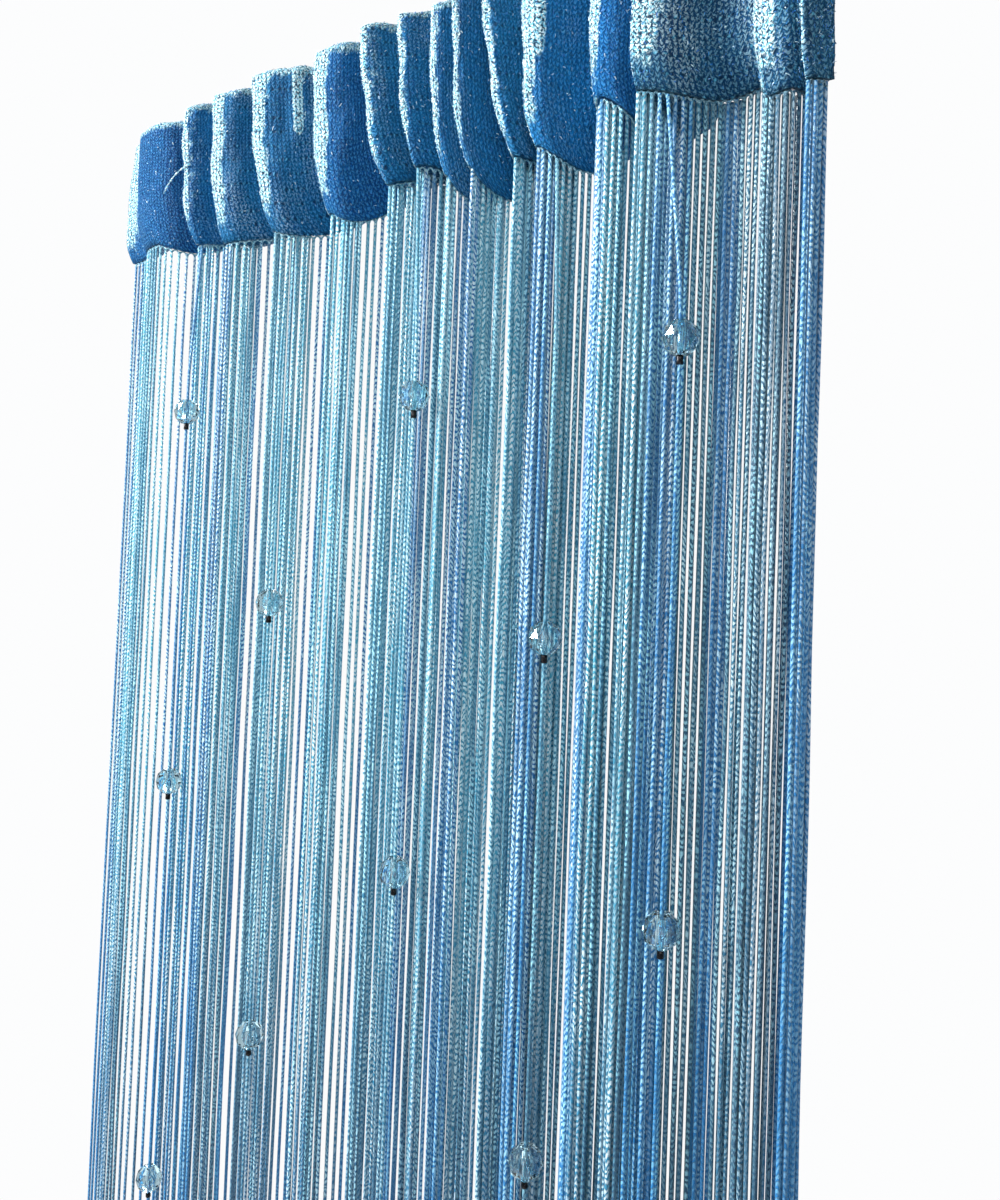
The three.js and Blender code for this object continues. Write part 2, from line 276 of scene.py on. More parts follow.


# Masks for the looks, one number for each point of the cloth. lit is painted highlight: on the ridges turned
# to the left, on the top rim and on the tucks, and faded out on the first lobe.
def clothMasks(place, rows, normals, tucked):
    front = np.clip(-rows[:, 3], 0, 1)
    turned = np.clip(normals @ unit(np.array(marks["toLeft"])), 0, 1)
    fold = np.clip(np.round((place - 1) / 2), 0, len(folds) - 1).astype(int)
    past = (place - (2 * fold + 1)) / np.array(ridgeHighlightWidths)[fold]
    crest = np.clip(marks["pastCrest"] - np.maximum(past, 0), 0, 1)[:, None] * front[None, :]
    steep = np.clip((turned - marks["turnedFrom"]) * marks["softness"], 0, 1)
    lit = np.maximum(crest * np.clip(turned * marks["softness"] + marks["base"], 0, 1), steep)
    firstLobe = np.clip(marks["darkLobe"] - place / marks["thinEdge"], 0, 1)
    lit *= np.where(place < marks["darkLobe"], firstLobe, 1)[:, None]
    rimHighlight = marks["rimHighlight"] * np.clip((rows[:, 0] - marks["rimFrom"]) / marks["rimSoft"], 0, 1)
    lit = np.maximum(lit, rimHighlight[None, :])
    tuckHighlight = np.clip((tucked - marks["tuckFrom"]) / marks["tuckSoft"], 0, 1)
    lit = np.maximum(lit, marks["tuckHighlight"] * tuckHighlight)
    lace = np.clip((place - marks["laceFrom"]) / marks["laceSoft"], 0, 1)
    masks = {"lit": lit}
    gaps, foldShade = np.array(openShares)[fold], np.array(foldShading)[fold]
    for name, values in (("lace", lace), ("gaps", gaps), ("foldShade", foldShade)):
        masks[name] = np.repeat(values[:, None], len(rows), 1)
    return masks


def makeHeading():
    rows, rowLengths = smoothRows(heading["rows"])
    place = np.linspace(0, len(knots) - 1, (len(knots) - 1) * heading["stepsPerHalfFold"] + 1)
    middle = clothAt(place, rows)
    stations, count = middle.shape[:2]
    u = np.repeat(lengthsAlong(middle[:, 0])[:, None], count, 1)
    v = np.repeat(rowLengths[None, :], stations, 0)
    side = unit(np.gradient(middle, axis=0))
    up = np.gradient(middle, axis=1)
    up[:, 0] = (0, 0, 1)
    up[:, -1] = (0, 0, -1)
    normals = unit(np.cross(side, up))
    ripple = slackRipples(u, v)
    tucked = np.zeros((stations, count))
    for at, foot, amount, wide in tuckRows:
        bump = tuckShape(place, rows, at, foot, wide)
        ripple += amount * bump
        tucked = np.maximum(tucked, bump * min(1, amount / marks["tallTuck"]))
    # The ripples fade out towards the hem
    fromHem = np.minimum(rowLengths, rowLengths[-1] - rowLengths)
    faded = ripple * np.clip(fromHem / heading["calmEdge"], 0, 1)[None, :]
    middle = middle + normals * faded[..., None]
    normals = unit(np.cross(unit(np.gradient(middle, axis=0)), up))
    half = np.full(count, heading["wall"] / 2)
    half[[0, -1]] = heading["hemHalf"]
    outer = middle + normals * half[None, :, None]
    inner = middle - normals * (heading["wall"] / 2)
    # The hem is closed by an inner edge that stands a little above it
    inner[:, [0, -1]] = middle[:, [0, -1]] + normals[:, [0, -1]] * heading["hemInset"]
    inner[:, [0, -1], 2] += heading["hemTuckedIn"]
    points = np.concatenate([outer.reshape(-1, 3), inner.reshape(-1, 3)])
    size = stations * count
    faces = [gridFaces(stations, count), gridFaces(stations, count, size, flip=True)]
    ring = np.arange(count)
    after = (ring + 1) % count
    leftEdge = np.stack([ring, after, after + size, ring + size], -1)
    faces += [leftEdge, leftEdge[:, ::-1] + (stations - 1) * count]
    uvs = np.tile(np.stack([u, v], -1).reshape(-1, 2) * mm, (2, 1))
    masks = clothMasks(place, rows, normals, tucked)
    skin = {"points": outer, "normals": normals, "side": side, "up": unit(up)}
    skin["lit"] = masks["lit"][..., None]
    masks = {label: np.tile(values.ravel(), 2) for label, values in masks.items()}
    # The flat band is as wide as its rows are on average, since its hem is stretched into a frill
    meanRow = np.linalg.norm(np.diff(middle, axis=0), axis=2).sum(0).mean()
    return meshObject("headingCloth", points, faces, uvs, masks), skin, meanRow, rowLengths[-1]


headingCloth, skin, flatWidth, loopLength = makeHeading()
print("heading made", round(flatWidth), "by", round(loopLength))

# Loops of shiny yarn that stand a little out of the knitting, each a bent ribbon.
# They stand closest together where the cloth turns to the left and along its top, and are painted paler
# there as painted highlight.
yarn = {
    "count": 46000, "long": (0.6, 1.7), "out": (0.15, 0.6), "width": (0.16, 0.42), "seed": 21,
    "sparse": 0.22, "onRidges": 0.9, "ridgeFrom": 0.6, "paleFrom": 0.55, "ridgeOver": 0.35,
    "onTop": 0.7, "topBand": 0.05, "triesEach": 6, "dice": 1.6,
    "spread": 0.9, "sunk": 0.1, "skew": 0.6, "bendAt": (0.3, 0.7), "endOut": (-0.1, 0.2),
}


def makeYarnLoops():
    random = np.random.default_rng(yarn["seed"])
    tries = yarn["count"] * yarn["triesEach"]
    stations, rows = skin["points"].shape[:2]
    s = random.uniform(0, stations - 1.001, tries)
    i = random.uniform(0.6, rows - 1.6, tries)
    fromTop = np.abs(i - (rows - 1) / 2) / rows
    lit = skin["lit"][s.astype(int), i.astype(int), 0]
    onRidge = np.clip((lit - yarn["ridgeFrom"]) / yarn["ridgeOver"], 0, 1)
    wish = yarn["sparse"] + yarn["onRidges"] * onRidge
    wish = wish + yarn["onTop"] * np.clip(1 - fromTop / yarn["topBand"], 0, 1)
    kept = np.flatnonzero(random.uniform(0, yarn["dice"], tries) < wish)[: yarn["count"]]
    s, i, lit = s[kept], i[kept], lit[kept]
    count = len(kept)
    a, b = s.astype(int), i.astype(int)
    fs, fi = (s - a)[:, None], (i - b)[:, None]

    def sample(name):
        grid = skin[name]
        low = grid[a, b] * (1 - fs) + grid[a + 1, b] * fs
        high = grid[a, b + 1] * (1 - fs) + grid[a + 1, b + 1] * fs
        return low * (1 - fi) + high * fi

    root = sample("points")
    out, side, up = unit(sample("normals")), unit(sample("side")), unit(sample("up"))
    angle = random.normal(math.pi / 2, yarn["spread"], count)[:, None]
    run = side * np.cos(angle) + up * np.sin(angle)
    long = random.uniform(*yarn["long"], count)[:, None]
    height = random.uniform(*yarn["out"], count)[:, None]
    wide = random.uniform(*yarn["width"], count)[:, None] / 2
    across = unit(np.cross(run, out) + out * random.uniform(-yarn["skew"], yarn["skew"], count)[:, None])
    middle = root + run * long * random.uniform(*yarn["bendAt"], count)[:, None] + out * height
    end = root + run * long + out * random.uniform(*yarn["endOut"], count)[:, None]
    foot, half = root - out * yarn["sunk"], across * wide
    corners = [foot + half, foot - half, middle - half, middle + half, end - half, end + half]
    points = np.stack(corners, 1).reshape(-1, 3)
    first = np.arange(count)[:, None] * len(corners)
    quads = np.concatenate([first + [0, 1, 2, 3], first + [3, 2, 4, 5]])
    # Painted highlight: loops on the lit parts of the cloth get a paler tint
    loopHighlight = np.clip((lit - yarn["paleFrom"]) / yarn["ridgeOver"], 0, 1)
    tints = np.clip(random.uniform(0, 0.75, count) + 0.5 * loopHighlight, 0, 1)
    return meshObject("yarnLoops", points, quads, attributes={"tint": np.repeat(tints, len(corners))})


yarnLoops = makeYarnLoops()
print("yarn loops made", len(yarnLoops.data.polygons) // 2)

# Strings, rooted along the hem, closer together towards the right
strings = {
    "count": 295, "crowding": 0.25, "radius": 0.84, "sides": 6, "rings": 84, "ringSpread": 1.15,
    "endMargin": 3.2, "gap": 0.9, "drop": 2000, "unevenFeet": 7, "footShare": 0.94, "beadedFoot": 3,
    "pieces": 4, "doubledFrom": 175, "behind": 2.1, "strayFeet": 1.3, "shorter": 6,
    "sway": 0.32, "swayFrom": 90, "swayOver": 60, "swayLengths": ((95, 31), (80, 27)),
    "greyFrom": 165, "greyOver": 70, "seed": 7, "secondSeed": 13,
}
columnNames = ("string", "x", "y", "first")
columnRows = (
    (32, -123, -31.3, 0),
    (71, -37.9, -29, 1),
    (131, 65.6, -27.3, 0),
    (209, 147.6, -23.5, 1),
    (257, 210.3, -23.7, 0),
)
columns = [dict(zip(columnNames, row)) for row in columnRows]

# Runs of strings whose yarn is a fuller blue, first and last string of each
blueRuns = (
    (0, 2), (17, 18), (22, 26), (31, 35), (40, 41), (47, 49), (53, 54), (75, 76), (97, 98), (119, 120),
    (127, 128), (132, 133), (137, 143), (149, 151), (166, 167), (176, 182), (191, 194), (202, 208),
    (215, 216), (225, 229), (238, 249), (256, 260), (265, 266), (283, 294),
)

# Cut glass beads on five of the strings. They sit a little off their rows, the first ones as
# listed and the others by up to "slip".
beads = {
    "across": 14.4, "high": 13.2, "hole": 1.2, "sides": 10, "rowPitch": 106, "rows": 17, "first": -177,
    "unevenness": (-1, -5, 7, 2, -3, 5, -7, 1, -3, 1, 1), "slip": 4,
    "cut": ((0.42, -1), (0.83, -0.62), (1, 0), (0.83, 0.62), (0.42, 1)), "holeEdge": 0.93,
}


# The places that carry the strip in the solids, a few to each half fold.
def hemStations():
    places = []
    for i in range(len(knots) - 1):
        run = abs(knots[i + 1]["x"] - knots[i]["x"])
        steps = 5 if run > 24 else 4 if run > 12 else 3
        places += [i + k / steps for k in range(steps)]
    places.append(len(knots) - 1)
    return np.array(places, float)


# Each string as the points it runs through. A string with beads hangs straight through their holes.
def stringCourses():
    hemRow = np.array([[0.0, 1.0, 0.0, 0.0]])
    place = hemStations()
    path = clothAt(place, hemRow)[:, 0]
    lengths = lengthsAlong(path)
    turn = np.linspace(0, 1, strings["count"])
    turn = turn + strings["crowding"] * turn * (1 - turn)
    wanted = strings["endMargin"] + (lengths[-1] - 2 * strings["endMargin"]) * turn
    roots = np.stack([np.interp(wanted, lengths, path[:, k]) for k in range(3)], 1)
    # The feet stray a little from the places below their roots
    n = np.arange(strings["count"])
    feet = roots.copy()
    feet[:, 0] += 3.2 * np.sin(n * 0.045) + 0.2 * np.sin(n * 2.4)
    feet[:, 1] = heading["hemMiddle"] + (roots[:, 1] - heading["hemMiddle"]) * strings["footShare"]
    feet[:, 1] += 0.3 * np.sin(n * 1.7 + 1)
    feet[:, 2] = -strings["drop"] + strings["unevenFeet"] * np.abs(np.sin(n * 2.1))
    courses = [[root, foot] for root, foot in zip(roots, feet)]
    for column in columns:
        turn = np.array([column["x"], column["y"], beads["first"] + beads["high"]])
        foot = np.array([column["x"], column["y"], -strings["drop"] + strings["beadedFoot"]])
        courses[column["string"]] = [roots[column["string"]], turn, foot]
    return courses


# The solids stop at 300 strings. The knitting carries a second row of them behind its right half.
def secondRow(courses):
    random = np.random.default_rng(strings["secondSeed"])
    bound = {column["string"] + step for column in columns for step in (-2, -1, 0, 1)}
    more = []
    for n in range(strings["doubledFrom"], strings["count"] - 1):
        if n in bound:
            continue
        (root, foot), (nextRoot, nextFoot) = courses[n], courses[n + 1]
        along = unit((nextRoot - root) * (1, 1, 0))
        back = np.array([-along[1], along[0], 0]) * strings["behind"]
        stray = random.normal(0, strings["strayFeet"], 2)
        drift = np.array([*stray, random.uniform(0, strings["shorter"])])
        more.append([(root + nextRoot) / 2 + back, (foot + nextFoot) / 2 + back + drift])
    return more


# How grey the yarn is, from its place across the curtain.
def greyAt(x):
    return np.clip((x - strings["greyFrom"]) / strings["greyOver"], 0, 1)


# A slight sway of a string in one direction, the sum of a long and a short wave.
def sway(z, sizes, phases, lengths):
    fade = np.clip(-z - strings["swayFrom"], 0, strings["swayOver"]) / strings["swayOver"]
    both = sizes[0] * np.sin(z / lengths[0] + phases[0]) + sizes[1] * np.sin(z / lengths[1] + phases[1])
    return fade * strings["sway"] * both


# Round strings along their courses, in a few objects of neighbouring strings.
def makeStrings(courses):
    random = np.random.default_rng(strings["seed"])
    rings, sides = strings["rings"], strings["sides"]
    share = np.linspace(0, 1, rings) ** strings["ringSpread"]
    angles = turnsRound(sides)
    circle = np.stack([np.cos(angles), np.sin(angles)], 1) * strings["radius"]
    size = rings * sides
    starts = np.array([course[0] for course in courses])
    isBlue = np.zeros(strings["count"])
    for low, high in blueRuns:
        isBlue[low:high + 1] = 1
    made = []
    for group in np.array_split(np.arange(len(courses)), strings["pieces"]):
        points, uvs, faces, caps = [], [], [], []
        marked = {"tint": [], "grey": [], "blue": []}
        for n in group:
            course = np.array(courses[n], float)
            course[0, 2] -= strings["gap"]
            z = course[0, 2] + (course[-1, 2] - course[0, 2]) * share
            x, y = (np.interp(-z, -course[:, 2], course[:, k]) for k in (0, 1))
            if len(course) == 2:
                sizes = random.uniform(0.5, 1, 4) * random.uniform(-1, 1, 4)
                phases = random.uniform(0, 6.28, 4)
                x = x + sway(z, sizes[:2], phases[:2], strings["swayLengths"][0])
                y = y + sway(z, sizes[2:], phases[2:], strings["swayLengths"][1])
            turn = random.uniform(0, 6.28)
            cosine, sine = math.cos(turn), math.sin(turn)
            ring = circle @ np.array([[cosine, sine, 0], [-sine, cosine, 0]])
            first = len(points) * size + np.arange(sides)
            points.append((np.stack([x, y, z], 1)[:, None] + ring).reshape(-1, 3))
            uvs.append(cordUvs(angles, z * mm + random.uniform(0, 0.1)))
            faces.append(gridFaces(rings, sides, first[0], flip=True))
            caps += [first[::-1], first + size - sides]
            nearest = np.argmin(np.linalg.norm(starts[: strings["count"]] - starts[n], axis=1))
            marked["tint"].append(np.full(size, random.uniform()))
            marked["grey"].append(np.full(size, greyAt(course[0, 0])))
            marked["blue"].append(np.full(size, isBlue[nearest]))
        allFaces = [np.concatenate(faces), np.array(caps)]
        attributes = {label: np.concatenate(values) for label, values in marked.items()}
        name = f"strings{len(made) + 1}"
        made.append(meshObject(name, np.concatenate(points), allFaces, np.concatenate(uvs), attributes))
    return made


courses = stringCourses()
behindRow = secondRow(courses)
stringPieces = makeStrings(courses + behindRow)
print("strings made", len(courses), "and", len(behindRow), "behind them")

# The cast-off edge that carries the strings: a cord that dips to a knot at each of them
hem = {
    "below": 0.5, "dip": 1.7, "thin": 0.42, "knot": 0.7, "stepsPerString": 9, "sides": 6, "tint": 0.45,
}


# A cord along a path, with its own radius at each point.
def tube(name, path, radii, sides, tint):
    tangent = unit(np.gradient(path, axis=0))
    level = unit(np.cross(tangent, np.array([0.0, 0.0, 1.0]) + 0 * tangent))
    rise = np.cross(level, tangent)
    angles = turnsRound(sides)
    ring = level[:, None] * np.cos(angles)[None, :, None]
    ring = ring + rise[:, None] * np.sin(angles)[None, :, None]
    points = path[:, None] + ring * np.asarray(radii)[:, None, None]
    count = len(path)
    caps = np.array([np.arange(sides), (np.arange(sides) + (count - 1) * sides)[::-1]])
    faces = [gridFaces(count, sides), caps]
    attributes = {"tint": np.full(count * sides, tint), "grey": np.repeat(greyAt(path[:, 0]), sides)}
    uvs = cordUvs(angles, lengthsAlong(path) * mm)
    return meshObject(name, points.reshape(-1, 3), faces, uvs, attributes)


def makeHemEdge():
    roots = np.array([course[0] for course in courses])
    steps = hem["stepsPerString"]
    place = np.linspace(0, len(roots) - 1, (len(roots) - 1) * steps + 1)
    path = np.stack([np.interp(place, np.arange(len(roots)), roots[:, k]) for k in range(3)], 1)
    away = np.abs(np.sin(np.pi * place))
    wander = 0.25 * np.sin(place * 2.7) + 0.2 * np.sin(place * 7.1)
    path[:, 2] -= hem["below"] + (hem["dip"] + wander) * (1 - away)
    radii = hem["thin"] + hem["knot"] * (1 - away) ** 3
    return tube("hemEdge", path, radii, hem["sides"], hem["tint"])


hemEdge = makeHemEdge()
print("hem edge made")

# One yarn end that has slipped out of the second fold and hangs down to the left
slipped = {
    "points": ((-128, -34, -43), (-139, -38.5, -46), (-149, -38, -57)),
    "radius": 0.42, "lumps": 0.16, "steps": 20, "sides": 6, "tint": 1.0,
}


def makeLooseEnd():
    bend = np.linspace(0, 1, slipped["steps"])[:, None]
    start, middle, end = np.array(slipped["points"], float)
    path = start * (1 - bend) ** 2 + 2 * middle * bend * (1 - bend) + end * bend**2
    radii = slipped["radius"] + slipped["lumps"] * np.sin(bend[:, 0] * 31)
    return tube("looseEnd", path, radii, slipped["sides"], slipped["tint"])


looseEnd = makeLooseEnd()
print("loose end made")


def socket(group, label, kind, default=None, out=False):
    made = group.interface.new_socket(name=label, in_out="OUTPUT" if out else "INPUT", socket_type=kind)
    if default is not None:
        made.default_value = default


# Sets copies of a small part on the points of a mesh, each turned about Z by up to Turn.
def scatterGroup():
    group = bpy.data.node_groups.new("setOnPoints", "GeometryNodeTree")
    for given in (
        ("Points", "NodeSocketGeometry"), ("Part", "NodeSocketObject"), ("Material", "NodeSocketMaterial"),
        ("Turn", "NodeSocketFloat", 0.0), ("Seed", "NodeSocketInt", 3),
    ):
        socket(group, *given)
    socket(group, "Result", "NodeSocketGeometry", out=True)
    kinds = {
        "start": "NodeGroupInput", "part": "GeometryNodeObjectInfo", "spin": "FunctionNodeRandomValue",
        "turn": "ShaderNodeCombineXYZ", "place": "GeometryNodeInstanceOnPoints",
        "real": "GeometryNodeRealizeInstances", "paint": "GeometryNodeSetMaterial", "end": "NodeGroupOutput",
    }
    nodes = {name: group.nodes.new(kind) for name, kind in kinds.items()}
    for source, output, target, slot in (
        ("start", "Points", "place", "Points"),
        ("start", "Part", "part", "Object"),
        ("part", "Geometry", "place", "Instance"),
        ("start", "Turn", "spin", 3),
        ("start", "Seed", "spin", "Seed"),
        ("spin", 1, "turn", "Z"),
        ("turn", 0, "place", "Rotation"),
        ("place", "Instances", "real", "Geometry"),
        ("real", "Geometry", "paint", "Geometry"),
        ("start", "Material", "paint", "Material"),
        ("paint", "Geometry", "end", "Result"),
    ):
        group.links.new(nodes[source].outputs[output], nodes[target].inputs[slot])
    return group


setOnPoints = scatterGroup()


# One joined mesh of copies of part, which is used up.
def scatter(name, points, part, material, turn=0.0, seed=3):
    carrier = meshObject(name + "Points", points, np.zeros((0, 3), np.int32))
    modifier = carrier.modifiers.new("setOnPoints", "NODES")
    modifier.node_group = setOnPoints
    values = {"Part": part, "Material": material, "Turn": turn, "Seed": seed}
    for item in setOnPoints.interface.items_tree:
        if item.item_type == "SOCKET" and item.in_out == "INPUT" and item.name in values:
            modifier[item.identifier] = values[item.name]
    graph = bpy.context.evaluated_depsgraph_get()
    graph.update()
    joined = carrier.evaluated_get(graph)
    mesh = bpy.data.meshes.new_from_object(joined, preserve_all_data_layers=True, depsgraph=graph)
    mesh.name = name
    obj = addObject(name, mesh)
    bpy.data.objects.remove(carrier)
    bpy.data.objects.remove(part)
    return obj


# A turned part from rows of (radius, height), closed round its hole.
# Where the rings are staggered, every second one is half a step further round, like cut glass.
def ringsObject(name, rings, sides, smooth=False, stagger=False):
    points, faces = [], []
    for k, (radius, height) in enumerate(rings):
        angles = turnsRound(sides, 0.5 * (k % 2) if stagger else 0.0)
        x, y = radius * np.cos(angles), radius * np.sin(angles)
        points.append(np.stack([x, y, np.full(sides, height)], 1))
        a, b = k * sides, (k + 1) % len(rings) * sides
        for i in range(sides):
            j = (i + 1) % sides
            if stagger and k % 2 == 0:
                faces += [(a + i, a + j, b + i), (a + j, b + j, b + i)]
            else:
                faces += [(a + i, a + j, b + j), (a + i, b + j, b + i)]
    return meshObject(name, np.concatenate(points), np.array(faces), smooth=smooth)


# Helpers for shader nodes. The groups give only masks, heights and colours to the materials.
def nodeGroup(name, inputs, outputs):
    group = bpy.data.node_groups.new(name, "ShaderNodeTree")
    for given in inputs:
        socket(group, *given)
    for label in outputs:
        socket(group, label, "NodeSocketFloat", out=True)
    return group, group.nodes.new("NodeGroupInput"), group.nodes.new("NodeGroupOutput")


# Sets one input of a node to a number or a colour, or links it.
def feed(tree, slot, value):
    if isinstance(value, (int, float, tuple)):
        slot.default_value = value
    elif value is not None:
        tree.links.new(value, slot)


def feedAll(tree, node, values):
    for label, value in values.items():
        feed(tree, node.inputs[label], value)


def maths(tree, operation, a, b=None, clamp=False):
    node = tree.nodes.new("ShaderNodeMath")
    node.operation = operation
    node.use_clamp = clamp
    feed(tree, node.inputs[0], a)
    feed(tree, node.inputs[1], b)
    return node.outputs[0]


def plus(tree, a, b, clamp=False):
    return maths(tree, "ADD", a, b, clamp)


def times(tree, a, b, clamp=False):
    return maths(tree, "MULTIPLY", a, b, clamp)


# A number that runs from low where share is 0 to high where it is 1.
def between(tree, share, low, high):
    return plus(tree, low, times(tree, share, high - low))


# A value from 0 to 1, moved to lie as far below zero as above it.
def centred(tree, value, amount):
    return times(tree, maths(tree, "SUBTRACT", value, 0.5), amount)


# Rows of rounded bumps, one to each whole number.
def bumps(tree, value):
    return maths(tree, "ABSOLUTE", maths(tree, "SINE", times(tree, value, math.pi)))


def ramp(tree, value, low, high, toLow=0.0, toHigh=1.0):
    node = tree.nodes.new("ShaderNodeMapRange")
    node.interpolation_type = "SMOOTHSTEP"
    ends = {"From Min": low, "From Max": high, "To Min": toLow, "To Max": toHigh}
    feedAll(tree, node, {"Value": value} | ends)
    return node.outputs["Result"]


def mixed(tree, share, a, b):
    node = tree.nodes.new("ShaderNodeMix")
    node.data_type = "RGBA"
    feedAll(tree, node, {"Factor": share, "A": a, "B": b})
    return node.outputs["Result"]


def noise(tree, vector, scale, detail=2.0, roughness=0.5):
    node = tree.nodes.new("ShaderNodeTexNoise")
    feedAll(tree, node, {"Vector": vector, "Scale": scale, "Detail": detail, "Roughness": roughness})
    return node.outputs["Fac"]


# Noise with its own scale in each direction.
def stretchedNoise(tree, vector, scales, detail=2.0, roughness=0.5):
    node = tree.nodes.new("ShaderNodeMapping")
    feedAll(tree, node, {"Vector": vector, "Scale": scales})
    return noise(tree, node.outputs["Vector"], 1.0, detail, roughness)


def objectNoise(tree, scale, detail=2.0):
    return noise(tree, tree.nodes.new("ShaderNodeTexCoord").outputs["Object"], scale, detail)


def splitVector(tree, vector):
    node = tree.nodes.new("ShaderNodeSeparateXYZ")
    tree.links.new(vector, node.inputs[0])
    return node.outputs


# Sizes of the knitting in millimetres: its stitches, its rows of gaps, and how far the yarn strays
knitSizes = {"wale": 2.6, "course": 2.1, "rowPitch": 7.2, "gapPitch": 4.1, "stray": 2.6}


# Stitches, open rows and pale yarn of the knitted band, from lengths along and across it in metres.
def knitGroup():
    group, start, end = nodeGroup(
        "knitRelief",
        [
            ("Vector", "NodeSocketVector"),
            ("Wale", "NodeSocketFloat", knitSizes["wale"] * mm),
            ("Course", "NodeSocketFloat", knitSizes["course"] * mm),
        ],
        ("Height", "Hole", "Dot", "Glint", "Pit", "Stitch"),
    )
    vector = start.outputs["Vector"]
    place = splitVector(group, vector)
    stray = centred(group, noise(group, vector, 260, 1.0), knitSizes["stray"] * mm)
    x, y = plus(group, place["X"], stray), plus(group, place["Y"], stray)
    across = maths(group, "DIVIDE", x, start.outputs["Wale"])
    up = maths(group, "DIVIDE", y, start.outputs["Course"])
    # Each stitch is a small slanted V that leans the other way on the next half wale
    lean = maths(group, "PINGPONG", across, 0.5)
    stitch = maths(group, "POWER", bumps(group, plus(group, up, times(group, lean, 1.6))), 0.6)
    body = times(group, stitch, maths(group, "POWER", bumps(group, across), 0.5))
    # Open rows: a small gap every few wales, in rows with plain knitting between
    rowAway = maths(group, "PINGPONG", maths(group, "DIVIDE", y, knitSizes["rowPitch"] * mm), 0.5)
    gapAway = maths(group, "PINGPONG", maths(group, "DIVIDE", x, knitSizes["gapPitch"] * mm), 0.5)
    tall = maths(group, "POWER", times(group, rowAway, knitSizes["rowPitch"]), 2)

    def distance(sideways):
        wide = maths(group, "POWER", times(group, sideways, knitSizes["gapPitch"]), 2)
        return maths(group, "SQRT", plus(group, tall, wide))

    broken = ramp(group, noise(group, vector, 120, 1.0), 0.36, 0.54)
    hole = times(group, ramp(group, distance(gapAway), 0.5, 1.1, 1.0, 0.0), broken)
    # A pale loop of yarn stands between two gaps
    fromLoop = distance(maths(group, "SUBTRACT", 0.5, gapAway))
    dot = times(group, ramp(group, fromLoop, 0.3, 0.75, 1.0, 0.0), broken)
    # bright sets where the material paints glints as painted highlight, dark where it paints pits as painted
    # shade between the stitches
    looped = centred(group, body, 0.24)
    bright = plus(group, stretchedNoise(group, vector, (760, 900, 1), 2.0, 0.7), looped)
    dark = plus(group, stretchedNoise(group, vector, (600, 760, 1), 2.0, 0.65), looped)
    pit = ramp(group, dark, 0.505, 0.42)
    fibres = stretchedNoise(group, vector, (700, 2300, 1), 3.0, 0.6)
    height = plus(group, times(group, body, 0.6), times(group, fibres, 0.6))
    height = plus(group, height, times(group, hole, -0.9))
    height = plus(group, height, times(group, pit, -0.5))
    glint = ramp(group, bright, 0.5, 0.58)
    feedAll(group, end, {"Height": height, "Hole": hole, "Dot": dot})
    feedAll(group, end, {"Glint": glint, "Pit": pit, "Stitch": body})
    return group


stitchPitch = 2.6 * mm


# Chain stitches along a string, from the share round it and the length along it in metres.
def stitchGroup():
    group, start, end = nodeGroup(
        "chainStitch",
        [("Vector", "NodeSocketVector"), ("Pitch", "NodeSocketFloat", stitchPitch)],
        ("Height", "Dash", "Fibre"),
    )
    vector = start.outputs["Vector"]
    place = splitVector(group, vector)
    wander = times(group, stretchedNoise(group, vector, (2, 130, 1)), 3.2)
    along = plus(group, maths(group, "DIVIDE", place["Y"], start.outputs["Pitch"]), wander)
    side = maths(group, "PINGPONG", times(group, place["X"], 2.0), 0.5)
    dash = bumps(group, plus(group, along, times(group, side, 0.9)))
    fibre = stretchedNoise(group, vector, (14, 1400, 1), 2.0, 0.6)
    body = ramp(group, plus(group, dash, centred(group, fibre, 0.7)), 0.42, 0.85)
    height = plus(group, body, times(group, fibre, 0.35))
    feedAll(group, end, {"Height": height, "Dash": body, "Fibre": fibre})
    return group


knitRelief = knitGroup()
chainStitch = stitchGroup()


def newMaterial(name):
    material = bpy.data.materials.new(name)
    material.use_nodes = True
    tree = material.node_tree
    return material, tree, tree.nodes["Principled BSDF"]


def uvVector(tree):
    node = tree.nodes.new("ShaderNodeUVMap")
    node.uv_map = "cloth"
    return node.outputs["UV"]


def bumpFrom(tree, height, strength, distance):
    node = tree.nodes.new("ShaderNodeBump")
    feedAll(tree, node, {"Strength": strength, "Distance": distance, "Height": height})
    return node.outputs["Normal"]


def groupOutputs(tree, group, vector):
    node = tree.nodes.new("ShaderNodeGroup")
    node.node_tree = group
    tree.links.new(vector, node.inputs["Vector"])
    return node.outputs


def attributeOf(tree, name):
    node = tree.nodes.new("ShaderNodeAttribute")
    node.attribute_name = name
    return node.outputs["Fac"]


# Colours of the knitting, how strongly each look shows, and numbers that run from one to another; the plain
# and open pairs, the ridge, the glints, the stitch shade and the gap colour are painted light and shade
knitLook = {
    "plain": ((0.0, 0.055, 0.24, 1), (0.002, 0.21, 0.66, 1)),
    "open": ((0.002, 0.06, 0.19, 1), (0.010, 0.25, 0.50, 1)),
    "grey": ((0.004, 0.055, 0.14, 1), (0.014, 0.12, 0.24, 1)),
    "glintBlue": ((0.02, 0.27, 0.60, 1), (0.04, 0.25, 0.39, 1)), "glintBlueShare": 0.6,
    "stitchShade": (0.0, 0.035, 0.15, 1), "stitchShadeShare": 0.5,
    "ridgeHighlight": (0.30, 0.76, 0.92, 1), "ridgeHighlightShare": 0.8, "ragged": 0.7, "uneven": 0.4,
    "loop": (0.16, 0.62, 0.86, 1), "loopShare": 0.55,
    "glintWhite": (0.88, 1.0, 1.0, 1), "glintShares": (0.02, 0.95), "laceGlints": 0.06, "patchGlints": 0.22,
    "gap": (0.0, 0.025, 0.085, 1), "gapDepth": (0.1, 0.95), "pitDepth": (0.3, 0.95),
    "roughness": (0.7, 0.4), "relief": (0.9, 0.0011),
}
